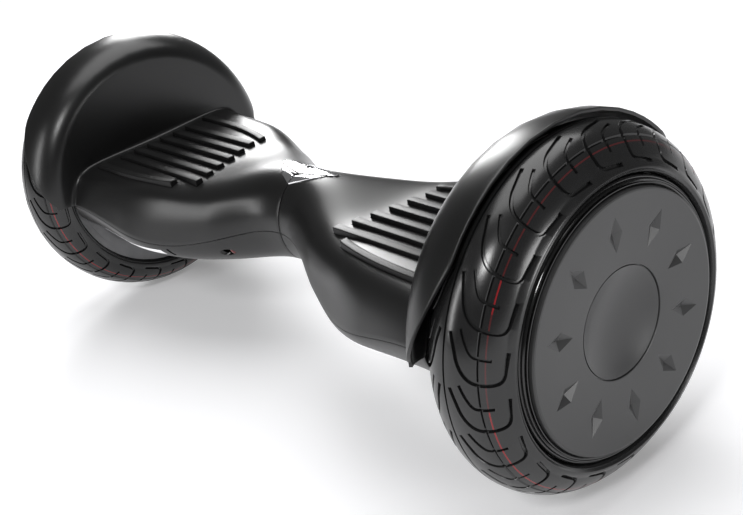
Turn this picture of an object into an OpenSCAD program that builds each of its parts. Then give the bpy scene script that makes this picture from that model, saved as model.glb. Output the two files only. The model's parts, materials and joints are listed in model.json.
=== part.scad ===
// Self balancing hoverboard with two hub motor wheels, each on its own half of the body.
// The halves twist against each other about the tube through the neck.
// X runs along the wheel axle, -Y is the front, Z is up and zero is the ground.

/* [Wheels] */
// Diameter of the inflated tyre
tyre_d = 254; // [240:1:260]
// Width of the tyre
tyre_w = 72; // [66:1:74]
// Distance from the middle of the board to the middle of a tyre
wheel_x = 288; // [287:1:292]
// Diameter of the hub cover
cover_d = 179; // [176:1:180]
// Diameter of the bowl in the middle of the hub cover
bowl_d = 78; // [60:1:84]
// Number of diamond dimples around the hub cover
dimple_count = 10; // [6:1:12]
// Diameter of the fixed axle
axle_d = 16; // [14:1:16]

/* [Body] */
// Front to back size of the neck
neck_depth = 72; // [68:1:80]
// Height of the top of the neck
neck_top = 172; // [168:1:176]
// Height of the underside of the neck
neck_bottom = 91; // [86:1:92]
// Front to back size of the body beside the wheel
deck_depth = 204; // [200:1:208]
// Height of the deck around the foot pads
deck_z = 161; // [160:1:163]
// Height of the underside of the body
belly_z = 74; // [72:1:76]
// Thickness of the moulded shells
shell_t = 2.5; // [2:0.1:2.6]

/* [Fender] */
// Radius of the fender at its open rim
fender_r = 133.5; // [132.5:0.5:136]
// Distance of the open rim from the middle of the board
fender_x = 286; // [276:1:290]
// Radius of the flat inner wall of the fender
fender_flat_r = 109; // [104:1:112]

/* [Foot pads] */
// Number of straight ribs on a foot pad
rib_count = 6; // [4:1:6]
// Distance between neighbouring ribs
rib_pitch = 14.9; // [14:0.1:15]
// Width of a rib
rib_w = 7; // [5:0.5:8]
// Height of the top of the ribs
rib_top_z = 165; // [164:0.5:167]
// How far a pad sinks before its switches close
pad_travel = 1.5; // [1:0.1:2]

/* [Neck joint] */
// Outer diameter of the pivot tube
tube_d = 32; // [28:1:32]
// Wall thickness of the pivot tube
tube_t = 4; // [3:0.5:4]
// Largest twist between the halves, either way
twist_max = 12; // [6:1:14]

/* [Hidden] */

axle_z = tyre_d / 2;
tube_r = tube_d / 2;
axle_r = axle_d / 2;
wall_x = 243;
well_x = wall_x + shell_t;
seam_gap = 0.3;
fit = 0.05;
slot_gap = 0.6;
axle_hole_r = axle_r + 1.5;

// Seam between the upper and lower shells: high at the neck, lowest ahead of the pads
seam_neck_z = 131;
seam_low_z = 113;
seam_end_z = 133;
seam_low_x = 115;

station_count = 24;
side_count = 12;

function smooth(t) = let (u = min(max(t, 0), 1)) u * u * (3 - 2 * u);
function lerp(a, b, t) = a + (b - a) * t;
function bezier(a, b, c, d, t) =
    pow(1 - t, 3) * a + 3 * pow(1 - t, 2) * t * b + 3 * (1 - t) * t * t * c + t * t * t * d;

// Widens in three overlapping swells: beside the neck, under the pad and evenly to the wheel
function half_depth(x) =
    let (swell = 0.11 * smooth((x - 15) / 60) + 0.67 * smooth(x / 170) + 0.22 * x / well_x)
    lerp(neck_depth, deck_depth, swell) / 2;
function top_z(x) = lerp(neck_top, deck_z, smooth((x - 20) / 90));
function bottom_z(x) = lerp(neck_bottom, belly_z, smooth(x / 120));
function seam_z(x) = x < seam_low_x
    ? lerp(seam_neck_z, seam_low_z, smooth(x / seam_low_x))
    : lerp(seam_low_z, seam_end_z, smooth((x - seam_low_x) / (wall_x - seam_low_x)));
function deck_share(x) = smooth(x / 150);

// Round quarter at the neck, flat deck over a flared flank beside the wheel
round_pull = 0.5523;
function upper_point(x, t, inset) =
    let (h = half_depth(x) - inset, rise = top_z(x) - inset - seam_z(x), k = deck_share(x))
    [bezier(0, h * lerp(round_pull, 0.83, k), h * lerp(1, 0.84, k), h, t),
     seam_z(x) + bezier(rise, rise, rise * lerp(round_pull, 1.28, k), 0, t)];
function lower_point(x, t, inset) =
    let (h = half_depth(x) - inset, start = seam_z(x) - seam_gap, k = deck_share(x),
        fall = start - bottom_z(x) - inset)
    [bezier(h, h, h * lerp(round_pull, 0.33, k), 0, t),
     start - bezier(0, fall * lerp(round_pull, 0.56, k), fall, fall, t)];

// One closed section; cut_z moves its straight edge past the seam
function upper_section(x, inset, cut_z) = concat(
    [for (i = [side_count:-1:0]) let (p = upper_point(x, i / side_count, inset)) [x, -p.x, p.y]],
    [for (i = [1:side_count]) let (p = upper_point(x, i / side_count, inset)) [x, p.x, p.y]],
    cut_z == 0 ? [] : [[x, half_depth(x) - inset, seam_z(x) - cut_z],
        [x, inset - half_depth(x), seam_z(x) - cut_z]]);
function lower_section(x, inset, cut_z) = concat(
    [for (i = [0:side_count]) let (p = lower_point(x, i / side_count, inset)) [x, p.x, p.y]],
    [for (i = [1:side_count]) let (p = lower_point(x, 1 - i / side_count, inset)) [x, -p.x, p.y]],
    cut_z == 0 ? [] : [[x, inset - half_depth(x), seam_z(x) + cut_z],
        [x, half_depth(x) - inset, seam_z(x) + cut_z]]);

// Skin over a list of equal sections that follow each other along X
module loft(sections) {
    n = len(sections[0]);
    last = len(sections) - 1;
    sides = [for (s = [0:last - 1], i = [0:n - 1])
        let (a = s * n + i, b = s * n + (i + 1) % n) [a, b, b + n, a + n]];
    start = [for (i = [n - 1:-1:0]) i];
    end = [for (i = [0:n - 1]) last * n + i];
    polyhedron([for (s = sections) each s], concat(sides, [start, end]), convexity = 6);
}

function stations(from, to) = [for (i = [0:station_count]) lerp(from, to, i / station_count)];

module upper_form(from, to, inset, cut_z) {
    loft([for (x = stations(from, to)) upper_section(x, inset, cut_z)]);
}

module lower_form(from, to, inset, cut_z) {
    loft([for (x = stations(from, to)) lower_section(x, inset, cut_z)]);
}

// Turns a profile of [radius, x] points about the axle
module turned(angle = 360, start = 0) {
    translate([0, 0, axle_z])
        rotate([0, 90, 0])
            rotate_extrude(angle = angle, start = start, $fn = 96)
                children();
}

module drum(r, from, to) {
    translate([from, 0, axle_z])
        rotate([0, 90, 0])
            cylinder(r = r, h = to - from, $fn = 96);
}

module ring(r_out, r_in, from, to) {
    difference() {
        drum(r_out, from, to);
        drum(r_in, from - 1, to + 1);
    }
}

// Round rod along Z, used for screws
module rod(x, y, from, to, r) {
    translate([x, y, from])
        cylinder(r = r, h = to - from, $fn = 32);
}

// ---------------------------------------------------------------- shells and fender

// Quarter ellipse from the flat wall out to the rim, as [radius, x] points
fender_steps = 12;
function fender_curve(inset) =
    let (depth = fender_x - wall_x, rise = fender_r - fender_flat_r)
    [for (i = [0:fender_steps]) let (a = 90 * i / fender_steps)
        [fender_flat_r - inset * cos(a) + (rise + inset * cos(a) - inset) * sin(a),
         wall_x + inset + (depth - inset) * (1 - cos(a))]];

// The open rim leans inwards below this height, down to the seam
rim_break_z = 215;
rim_low_z = 137;
rim_low_x = 246;
rim_steps = 8;
function rim_edge() = [for (i = [0:rim_steps]) let (s = i / rim_steps)
    [lerp(fender_x + 1, rim_low_x, pow(s, 1.25)), lerp(rim_break_z, rim_low_z, s)]];

module fender() {
    outer = fender_curve(0);
    inner = fender_curve(shell_t);
    inner_back = [for (i = [fender_steps:-1:0]) inner[i]];
    difference() {
        turned(180, 90)
            polygon(concat([[0, wall_x]], outer, inner_back, [[0, well_x]]));
        translate([0, -deck_depth, 0])
            cube([tyre_d * 2, deck_depth * 2, seam_end_z + 1]);
        translate([0, deck_depth, 0])
            rotate([90, 0, 0])
                linear_extrude(deck_depth * 2)
                    polygon(concat(rim_edge(), [[rim_low_x, 100], [320, 100], [320, rim_break_z]]));
    }
}

// Foot pad ribs: straight ones in a slanted row between two curved ones
pad_mid_y = -7.45;
rib_first_x = 95;
rib_step_x = 4.7;
rib_end_x = 228;
arc_from_x = 118;
arc_to_x = 232;
arc_y = 60.5;
arc_bend = 11;
arc_steps = 8;

function rib_y(i) = pad_mid_y + rib_pitch * (i - (rib_count - 1) / 2);
function arc_line(x) = arc_y - arc_bend * pow((arc_to_x - x) / (arc_to_x - arc_from_x), 3);

module rib_outlines(grow) {
    for (i = [0:rib_count - 1]) {
        x = rib_first_x + rib_step_x * i;
        translate([x - grow, rib_y(i) - rib_w / 2 - grow])
            square([rib_end_x - x + 2 * grow, rib_w + 2 * grow]);
    }
    for (side = [-1, 1]) {
        xs = [for (i = [0:arc_steps])
            lerp(arc_from_x - grow, arc_to_x + grow, i / arc_steps)];
        near = [for (x = xs) [x, pad_mid_y + side * (arc_line(x) - rib_w / 2 - grow)]];
        far = [for (i = [arc_steps:-1:0])
            [xs[i], pad_mid_y + side * (arc_line(xs[i]) + rib_w / 2 + grow)]];
        polygon(concat(near, far));
    }
}

module upper_shell() {
    color("#1b1b1d")
        difference() {
            union() {
                difference() {
                    upper_form(seam_gap, well_x, 0, 0);
                    upper_form(-1, wall_x, shell_t, 5);
                }
                fender();
            }
            translate([0, 0, deck_z - 20])
                linear_extrude(30)
                    rib_outlines(slot_gap);
            drum(axle_hole_r, wall_x - 1, well_x + 1);
        }
}

// Screws that hold the lower shell up to the frame
shell_screws_xy = [[124, -22], [124, 22], [198, -22], [198, 22]];
tray_z = 84;
tray_t = 3.5;
screw_seat_z = 79.5;

// Window for the light bar, low on the front flank
module light_band(grow) {
    translate([0, -40, 0])
        rotate([90, 0, 0])
            linear_extrude(70)
                polygon([[122 - grow, 101.5 - grow], [214 + grow, 108.8 - grow],
                    [214 + grow, 110.5 + grow], [124 - grow, 107 + grow]]);
}

// Small leaning slot ahead of the light bar
module side_slot() {
    translate([0, -40, 0])
        rotate([90, 0, 0])
            linear_extrude(70)
                polygon([[111.8, 101.5], [114.5, 100.8], [117.2, 108.7], [114.8, 109.4]]);
}

module lower_shell() {
    difference() {
        union() {
            difference() {
                lower_form(seam_gap, wall_x, 0, 0);
                lower_form(-1, wall_x - shell_t, shell_t, 5);
            }
            for (p = shell_screws_xy)
                rod(p.x, p.y, screw_seat_z - 1.2, tray_z, 6);
        }
        for (p = shell_screws_xy) {
            rod(p.x, p.y, belly_z - 5, tray_z + 5, 2.2);
            rod(p.x, p.y, belly_z - 5, screw_seat_z, 4.3);
        }
        drum(axle_hole_r, wall_x - 10, wall_x + 10);
        light_band(0.2);
        side_slot();
    }
}

module light_bar() {
    color("#f2f4f6")
        intersection() {
            difference() {
                lower_form(110, 226, -0.3, 0);
                lower_form(109, 227, shell_t, 5);
            }
            light_band(0);
        }
}

module light_board() {
    color("#e8e8e0")
        translate([128, -70, 104])
            rotate([0, 0, -8]) {
                cube([80, 1.6, 7]);
                for (i = [0:7])
                    translate([3 + i * 10, -1, 2])
                        cube([4, 1, 3]);
            }
}

module shell_screws() {
    color("#3a3a3c")
        for (p = shell_screws_xy) {
            rod(p.x, p.y, screw_seat_z - 2.4, screw_seat_z, 3.8);
            rod(p.x, p.y, screw_seat_z, tray_z + tray_t, 2);
        }
}

// ---------------------------------------------------------------- foot pads

pad_top_z = 150;
pad_t = 3;
pad_margin = 19;
plunger_xy = [[130, -34], [180, -34], [130, 26], [180, 26]];
board_z = 141.5;
board_t = 1.6;

function pad_edge(x, side) = [x, side * (half_depth(x) - pad_margin) + (side > 0 ? pad_mid_y : 0)];

module foot_pad() {
    xs = [for (i = [0:6]) lerp(91, 237, i / 6)];
    color("#0d0d0e") {
        translate([0, 0, pad_top_z - pad_t])
            linear_extrude(pad_t)
                polygon(concat([for (x = xs) pad_edge(x, -1)],
                    [for (i = [6:-1:0]) pad_edge(xs[i], 1)]));
        translate([0, 0, pad_top_z])
            linear_extrude(rib_top_z - pad_top_z)
                rib_outlines(0);
    }
}

module pad_plungers() {
    color("#232325")
        for (p = plunger_xy)
            rod(p.x, p.y, board_z + board_t + pad_travel + 0.6, pad_top_z - pad_t, 3);
}

module sensor_board() {
    color("#1f6b3a")
        translate([112, -44, board_z])
            cube([80, 88, board_t]);
    color("#202022")
        translate([146, -6, board_z + board_t])
            cube([12, 12, 1.2]);
    color("#e9e7df")
        translate([118, -6, board_z + board_t])
            cube([10, 14, 1.6]);
}

// ---------------------------------------------------------------- frame and neck joint

post_xy = [[116, -39], [116, 39], [188, -39], [188, 39]];
post_r = 3.2;
block_from_x = 206;
block_to_x = 238;
block_half_y = 24;
clamp_top_z = 138.5;
clamp_bolts_xy = [[213, -17], [213, 17], [231, -17], [231, 17]];
boss_r = 23;
boss_from_x = 8;
boss_to_x = 62;
bush_t = 3;
stop_r = 3;
stop_x = 35;
stop_reach = 22;

// Room for the stop pin to swing through in the right frame's boss
module stop_slot() {
    half = twist_max + asin((stop_r + 0.3) / (tube_r + 1)) + 1;
    translate([stop_x - stop_r - 0.5, 0, axle_z])
        rotate([0, 90, 0])
            rotate_extrude(angle = 2 * half, start = 180 - half, $fn = 96)
                translate([tube_r - 1, 0])
                    square([boss_r, 2 * stop_r + 1]);
}

module frame(bore_r) {
    difference() {
        union() {
            translate([0, 0, tray_z])
                linear_extrude(tray_t)
                    polygon([[96, -28], [110, -40], [238, -40], [238, 40], [110, 40], [96, 28]]);
            for (side = [-1, 1])
                translate([110, side * 38.5 - 1.5, tray_z])
                    cube([128, 3, 18]);
            for (p = post_xy)
                rod(p.x, p.y, tray_z, board_z, post_r);
            translate([block_from_x, -block_half_y, tray_z])
                cube([block_to_x - block_from_x, 2 * block_half_y, axle_z - tray_z]);
            drum(boss_r, boss_from_x, boss_to_x);
            translate([0, 12, 0])
                rotate([90, 0, 0])
                    linear_extrude(24)
                        polygon([[10, 98], [10, 112], [62, 105.5], [98, tray_z + tray_t],
                            [118, tray_z + tray_t], [118, tray_z], [97, tray_z], [62, 98]]);
        }
        drum(bore_r, boss_from_x - 1, boss_to_x + 1);
        drum(axle_r, block_from_x - 1, block_to_x + 1);
        for (p = clamp_bolts_xy)
            rod(p.x, p.y, 109, axle_z + 1, 3.1);
        for (p = shell_screws_xy)
            rod(p.x, p.y, tray_z - 1, tray_z + tray_t + 1, 2.1);
    }
}

module axle_clamp() {
    color("#9a9c9f")
        difference() {
            translate([block_from_x, -block_half_y, axle_z + 0.4])
                cube([block_to_x - block_from_x, 2 * block_half_y, clamp_top_z - axle_z - 0.4]);
            drum(axle_r, block_from_x - 1, block_to_x + 1);
            for (p = clamp_bolts_xy)
                rod(p.x, p.y, 109, clamp_top_z + 1, 3.1);
        }
}

module clamp_screws() {
    color("#2b2b2d")
        for (p = clamp_bolts_xy) {
            rod(p.x, p.y, 110, clamp_top_z, 3);
            difference() {
                rod(p.x, p.y, clamp_top_z, clamp_top_z + 5.5, 5);
                translate([p.x, p.y, clamp_top_z + 2.5])
                    cylinder(r = 2.9, h = 4, $fn = 6);
            }
        }
}

module pivot_tube() {
    color("#b9bbbe")
        difference() {
            ring(tube_r, tube_r - tube_t, -boss_to_x, boss_to_x + 5);
            ring(tube_r + 1, tube_r - 1.5, boss_to_x + 1, boss_to_x + 2.6);
            translate([stop_x, 0, axle_z])
                cylinder(r = stop_r, h = stop_reach, $fn = 48);
        }
}

module pivot_bushes() {
    color("#e6e2d3") {
        ring(tube_r + bush_t, tube_r + fit, boss_from_x, stop_x - stop_r - 4);
        ring(tube_r + bush_t, tube_r + fit, stop_x + stop_r + 4, boss_to_x);
        ring(boss_r - 1, tube_r + fit, boss_from_x - 2, boss_from_x);
    }
}

module pivot_circlip() {
    color("#5d5f62")
        difference() {
            ring(boss_r - 3, tube_r - 1.5, boss_to_x + 1.1, boss_to_x + 2.5);
            translate([boss_to_x, -4, axle_z - boss_r - 1])
                cube([4, 8, boss_r - 8]);
        }
}

module pivot_stop_pin() {
    color("#8d8f92")
        translate([stop_x, 0, axle_z + tube_r - tube_t])
            cylinder(r = stop_r, h = stop_reach - tube_r + tube_t, $fn = 48);
}

// ---------------------------------------------------------------- hub motor and wheel

hub_in_x = wheel_x - 30;
hub_out_x = wheel_x + 26;
nose_x = hub_out_x - 3.5;
nose_r = 40;
drum_r = 80;
seat_r = 90;
lip_r = 96;
magnet_r = 72;
stator_r = 68;
bearing_r = 17.5;
bearing_w = 11;
plate_x = hub_in_x - 4;
cover_x = wheel_x + 37.5;
cover_fall = 4;
cover_r = cover_d / 2;
bowl_r = bowl_d / 2;
valve_r = 4;
valve_at_r = 85;
axle_end_x = nose_x - 2.5;

module motor_axle() {
    color("#a9abae") {
        drum(axle_r, block_from_x - 4, axle_end_x);
        ring(axle_r + 3, axle_r, hub_in_x + bearing_w + 1, hub_in_x + bearing_w + 3);
    }
}

module stator() {
    tooth_count = 27;
    color("#b0703a")
        difference() {
            drum(stator_r, hub_in_x + 15, nose_x - 16);
            drum(axle_r, hub_in_x, hub_out_x);
            for (i = [0:tooth_count - 1])
                translate([hub_in_x + 10, 0, axle_z])
                    rotate([i * 360 / tooth_count, 0, 0])
                        translate([0, -1, 50])
                            cube([40, 2, 20]);
        }
}

module bearings() {
    color("#c9cbce") {
        ring(bearing_r, axle_r + fit, hub_in_x, hub_in_x + bearing_w);
        ring(bearing_r, axle_r + fit, nose_x - 3 - bearing_w, nose_x - 3);
    }
}

module hub() {
    difference() {
        turned()
            polygon([[bearing_r, nose_x - 14], [22, nose_x - 14], [22, hub_out_x - 6],
                [magnet_r, hub_out_x - 6], [magnet_r, hub_in_x], [seat_r, hub_in_x],
                [seat_r, hub_in_x + 0.5], [lip_r, hub_in_x + 0.5], [lip_r, hub_in_x + 3],
                [seat_r, hub_in_x + 3], [seat_r, hub_in_x + 12], [drum_r + 2, hub_in_x + 15],
                [drum_r + 2, hub_out_x - 15], [seat_r, hub_out_x - 12], [seat_r, hub_out_x - 3],
                [lip_r, hub_out_x - 3], [lip_r, hub_out_x], [nose_r + 2, hub_out_x],
                [nose_r, nose_x], [0, nose_x], [0, nose_x - 1.5], [12, nose_x - 1.5],
                [12, nose_x - 3], [bearing_r, nose_x - 3]]);
        translate([hub_in_x - 2, 0, axle_z + valve_at_r])
            rotate([0, 90, 0])
                cylinder(r = valve_r, h = 20, $fn = 32);
    }
}

module magnet_ring() {
    magnet_count = 30;
    color("#7c7e81")
        difference() {
            ring(magnet_r, magnet_r - 3, hub_in_x + 13, hub_out_x - 14);
            for (i = [0:magnet_count - 1])
                translate([hub_in_x + 12, 0, axle_z])
                    rotate([i * 360 / magnet_count, 0, 0])
                        translate([0, -0.5, magnet_r - 4])
                            cube([40, 1, 3]);
        }
}

plate_screw_count = 6;

module at_plate_screws() {
    for (i = [0:plate_screw_count - 1])
        translate([0, 0, axle_z])
            rotate([30 + i * 360 / plate_screw_count, 0, 0])
                translate([0, 0, 77])
                    rotate([0, 90, 0])
                        children();
}

module side_plate() {
    color("#8f9194")
        difference() {
            turned()
                polygon([[axle_hole_r, plate_x], [drum_r + 1, plate_x], [drum_r + 1, hub_in_x],
                    [22, hub_in_x], [22, hub_in_x + bearing_w], [bearing_r, hub_in_x + bearing_w],
                    [bearing_r, hub_in_x - 1.5], [axle_hole_r, hub_in_x - 1.5]]);
            at_plate_screws()
                translate([0, 0, plate_x - 1])
                    cylinder(r = 2.1, h = 8, $fn = 32);
        }
}

module plate_screws() {
    color("#2b2b2d")
        at_plate_screws() {
            translate([0, 0, plate_x - 2])
                cylinder(r = 3.4, h = 2, $fn = 32);
            translate([0, 0, plate_x])
                cylinder(r = 2, h = hub_in_x - plate_x, $fn = 32);
        }
}

dimple_at_r = 63.6;
dimple_half_l = 13;
dimple_half_w = 6.3;
dimple_depth = 3.2;
dimple_over = 0.6;

// Four-sided point that sinks into the cover, its long way outwards
module dimple() {
    grown = (dimple_depth + dimple_over) / dimple_depth;
    scale([1, dimple_half_w / dimple_half_l, 1])
        cylinder(r1 = 0, r2 = dimple_half_l * grown, h = dimple_depth + dimple_over, $fn = 4);
}

// Bowl of the hub cover as an arc of [radius, x] points
bowl_depth = 8.8;
bowl_steps = 8;
cover_t = 2;
backing_x = cover_x - 7.2;
function cover_face(r) = cover_x - cover_fall * (cover_r - r) / (cover_r - bowl_r);
function bowl_curve(drop) =
    [for (i = [0:bowl_steps]) let (r = bowl_r * i / bowl_steps)
        [r, cover_face(bowl_r) - bowl_depth * (1 - pow(r / bowl_r, 2)) - drop]];

module hub_cover() {
    back = bowl_curve(cover_t);
    color("#2a2a2c")
        difference() {
            turned()
                polygon(concat(bowl_curve(0), [[cover_r, cover_x], [cover_r, hub_out_x],
                    [cover_r - cover_t, hub_out_x], [cover_r - cover_t, cover_x - cover_t],
                    [cover_r - 10, backing_x], [bowl_r + 8, backing_x]],
                    [for (i = [bowl_steps:-1:0]) back[i]]));
            for (i = [0:dimple_count - 1])
                translate([0, 0, axle_z])
                    rotate([i * 360 / dimple_count, 0, 0])
                        translate([cover_face(dimple_at_r) - dimple_depth, 0, dimple_at_r])
                            rotate([0, 90, 0])
                                dimple();
        }
}

module cover_ring() {
    color("#0a0a0b")
        turned()
            polygon([[cover_r + 0.3, hub_out_x], [lip_r, hub_out_x], [lip_r, hub_out_x + 4],
                [lip_r - 1.5, hub_out_x + 7], [cover_r + 2, hub_out_x + 8.5],
                [cover_r + 0.3, hub_out_x + 7]]);
}

// Tyre outline as [radius, x] points: bead, bulged sidewall and a rounded crown
tyre_r = tyre_d / 2;
bead_half = 23;
groove_at = [-20.6, 0, 20.6];
groove_w = 1.4;
groove_depth = 1.7;
tyre_steps = 10;
crown_height = 37;
crown_end = 66;
cavity_r = 106;
function tread_r(dx) = tyre_r - crown_height * (1 - sqrt(1 - pow(2 * dx / tyre_w, 2)));
function tyre_half(sign) = concat(
    [for (p = [[seat_r, 15], [seat_r, bead_half], [lip_r + 0.3, bead_half], [lip_r + 0.3, 26],
        [96.6, 30], [97.8, 32], [99.8, 33.6], [102, 33.8]]) [p.x, wheel_x + sign * p.y]],
    [for (i = [tyre_steps:-1:1]) let (a = crown_end * i / tyre_steps)
        [tyre_r - crown_height * (1 - cos(a)), wheel_x + sign * tyre_w / 2 * sin(a)]]);

module tyre() {
    inboard = tyre_half(-1);
    mirrored = [for (i = [len(inboard) - 1:-1:0]) inboard[i]];
    color("#161617")
        difference() {
            turned()
                polygon(concat(tyre_half(1), [[tyre_r, wheel_x]], mirrored));
            turned()
                translate([cavity_r, wheel_x])
                    scale([13, 26])
                        circle(r = 1, $fn = 48);
            ring(lip_r + 2, seat_r - 1, wheel_x - 15, wheel_x + 15);
            for (dx = groove_at)
                ring(tyre_r + 1, tread_r(dx) - groove_depth, wheel_x + dx - groove_w / 2,
                    wheel_x + dx + groove_w / 2);
        }
}

module inner_tube() {
    color("#1d1d1f")
        turned()
            difference() {
                translate([cavity_r, wheel_x])
                    scale([12.6, 25.6])
                        circle(r = 1, $fn = 48);
                translate([cavity_r, wheel_x])
                    scale([10.8, 23.8])
                        circle(r = 1, $fn = 48);
            }
}

module valve_stem() {
    color("#c2a35a")
        translate([0, 0, axle_z + valve_at_r])
            rotate([0, 90, 0])
                translate([0, 0, plate_x - 4])
                    cylinder(r = valve_r - 0.1, h = 17, $fn = 32);
}

// ---------------------------------------------------------------- neck trim

trim_t = 1;
blade_outline = [[0.6, -17], [12, -12.2], [22, -6], [27, -1.5], [18.6, -3.8], [10, -6.6], [0.6, -9.5]];
plate_outline = [[0.6, -5], [20, -0.5], [34, 5], [37, 9], [34, 11], [16, 9.5], [0.6, 6]];

module on_neck(thickness) {
    intersection() {
        difference() {
            upper_form(seam_gap, well_x, -thickness, 0);
            upper_form(seam_gap, well_x, 0, 5);
        }
        translate([0, 0, neck_top - 30])
            linear_extrude(60)
                children();
    }
}

module neck_trim() {
    color("#e4e6e8")
        on_neck(trim_t) {
            polygon(blade_outline);
            polygon(plate_outline);
            mirror([0, 1])
                translate([0, -1])
                    polygon(blade_outline);
        }
}

module indicator() {
    color("#101012")
        on_neck(trim_t / 2)
            polygon([[0.6, -9.3], [10, -6.4], [18.6, -3.6], [27, -1.3], [30, 3], [20, -0.7], [0.6, -5.2]]);
}

// ---------------------------------------------------------------- electrics

module battery_pack() {
    color("#2f5f9e")
        translate([102, -35, tray_z + tray_t])
            cube([100, 70, 53]);
}

module control_board() {
    mirror([1, 0, 0]) {
        color("#1f6b3a")
            translate([112, -34, 88])
                cube([86, 68, 1.6]);
        color("#8f9194")
            for (x = [118, 192], y = [-28, 28])
                rod(x, y, tray_z + tray_t, 88, 3);
        color("#a9abae")
            translate([122, -30, 89.6])
                cube([60, 14, 12]);
        color("#202022") {
            rod(176, 14, 89.6, 112, 8);
            rod(156, 14, 89.6, 112, 8);
            translate([124, 2, 89.6])
                cube([18, 18, 3]);
        }
        color("#e9e7df")
            translate([130, 26, 89.6])
                cube([50, 6, 8]);
    }
}

// Round button low on the front flank, square to the skin
button_at = [-61, -50.5, 107];
button_turn = [113, 0, -23];
button_r = 4.5;
button_travel = 1;

module on_button() {
    translate(button_at)
        rotate([0, 0, button_turn.z])
            rotate([button_turn.x, 0, 0])
                children();
}

module power_button() {
    color("#7a1214")
        on_button()
            translate([0, 0, -7])
                cylinder(r = button_r, h = 8.5, $fn = 48);
}

module power_switch() {
    color("#202022")
        on_button()
            translate([-6, -6, -17 - button_travel])
                cube([12, 12, 9.5]);
}

// Charging socket square to the back flank of the left lower shell; depths run inwards from the skin
socket_at = [-150, 88.9, 104];
socket_tilt = 43;
socket_face = 1.6;
socket_floor = 3;
socket_bore_r = 5.5;
socket_bore_from = 3.6;
socket_bore_l = 5;
socket_end = 14;
socket_body_r = 7.3;
socket_well_r = 4.6;
socket_wall = 1.4;
flange_r = 9;
mouth_r = 6;
pin_ring_r = 2.6;

module on_socket() {
    translate(socket_at)
        rotate([-90 - socket_tilt, 0, 0])
            children();
}

module socket_rod(r, deep, shallow) {
    on_socket()
        translate([0, 0, -deep])
            cylinder(r = r, h = deep - shallow, $fn = 48);
}

module left_lower_shell_body() {
    difference() {
        union() {
            mirror([1, 0, 0])
                lower_shell();
            socket_rod(flange_r + 1.5, 6.5, socket_floor - 0.2);
        }
        socket_rod(flange_r + 0.3, socket_floor, -10);
        socket_rod(socket_body_r + 0.2, 20, 2);
        on_button()
            translate([0, 0, -20])
                cylinder(r = button_r + 0.3, h = 30, $fn = 48);
    }
}

module charge_socket() {
    bore_end = socket_bore_from + socket_bore_l;
    color("#3a3a3c")
        difference() {
            union() {
                socket_rod(socket_body_r, socket_end, socket_floor);
                socket_rod(flange_r, socket_floor, socket_face);
            }
            socket_rod(mouth_r, socket_bore_from, socket_face - 1);
            socket_rod(socket_bore_r, bore_end, socket_face - 1);
            socket_rod(socket_well_r, socket_end - socket_wall, socket_face - 1);
        }
    color("#c9b26a")
        for (a = [90, 210, 330])
            on_socket()
                translate([pin_ring_r * cos(a), pin_ring_r * sin(a), -socket_end + 1])
                    cylinder(r = 0.8, h = socket_end - 1 - bore_end - 0.4, $fn = 24);
}

// Rubber cap with a plug in the socket's mouth and a round hinge at its upper edge
cap_gap = 0.3;
cap_t = 1.8;
cap_hinge_up = 11;
cap_hinge_deep = 0.5;
cap_hinge_r = 0.9;
cap_tab_half = 2.5;
cap_flat_up = 8.3;

module charge_cap() {
    cap_floor = socket_face - cap_gap;
    color("#141415") {
        difference() {
            socket_rod(flange_r, cap_floor, cap_floor - cap_t);
            on_socket()
                translate([-20, -20 - cap_flat_up, -5])
                    cube([40, 20, 10]);
        }
        socket_rod(mouth_r - 0.8, socket_face + 1.4, cap_floor);
        on_socket() {
            translate([-cap_tab_half, -cap_hinge_up, 0.4 - cap_floor])
                cube([2 * cap_tab_half, 4, cap_t - 0.5]);
            translate([-cap_tab_half, -cap_hinge_up, -cap_hinge_deep])
                rotate([0, 90, 0])
                    cylinder(r = cap_hinge_r, h = 2 * cap_tab_half, $fn = 32);
        }
    }
}

// ---------------------------------------------------------------- the two sides

module left() {
    mirror([1, 0, 0])
        children();
}

module left_lower_shell() {
    color("#1b1b1d")
        left_lower_shell_body();
}

module right_lower_shell() {
    color("#1b1b1d")
        lower_shell();
}

module left_frame() {
    color("#a4a6a9")
        left()
            frame(tube_r);
}

module right_frame() {
    color("#a4a6a9")
        difference() {
            frame(tube_r + bush_t);
            stop_slot();
        }
}

module hub_casting() {
    color("#77797c")
        hub();
}

left() upper_shell();  // left_upper_shell
upper_shell();  // right_upper_shell
left_lower_shell();
right_lower_shell();
left() foot_pad();  // left_foot_pad
foot_pad();  // right_foot_pad
left() pad_plungers();  // left_pad_plungers
pad_plungers();  // right_pad_plungers
left() sensor_board();  // left_sensor_board
sensor_board();  // right_sensor_board
left() light_bar();  // left_light_bar
light_bar();  // right_light_bar
left() light_board();  // left_light_board
light_board();  // right_light_board
left_frame();
right_frame();
left() axle_clamp();  // left_axle_clamp
axle_clamp();  // right_axle_clamp
left() clamp_screws();  // left_clamp_screws
clamp_screws();  // right_clamp_screws
left() motor_axle();  // left_motor_axle
motor_axle();  // right_motor_axle
left() stator();  // left_stator
stator();  // right_stator
left() bearings();  // left_bearings
bearings();  // right_bearings
left() hub_casting();  // left_hub
hub_casting();  // right_hub
left() magnet_ring();  // left_magnet_ring
magnet_ring();  // right_magnet_ring
left() side_plate();  // left_side_plate
side_plate();  // right_side_plate
left() plate_screws();  // left_plate_screws
plate_screws();  // right_plate_screws
left() hub_cover();  // left_hub_cover
hub_cover();  // right_hub_cover
left() cover_ring();  // left_cover_ring
cover_ring();  // right_cover_ring
left() tyre();  // left_tyre
tyre();  // right_tyre
left() inner_tube();  // left_inner_tube
inner_tube();  // right_inner_tube
left() valve_stem();  // left_valve_stem
valve_stem();  // right_valve_stem
left() shell_screws();  // left_shell_screws
shell_screws();  // right_shell_screws
left() neck_trim();  // left_neck_trim
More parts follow.
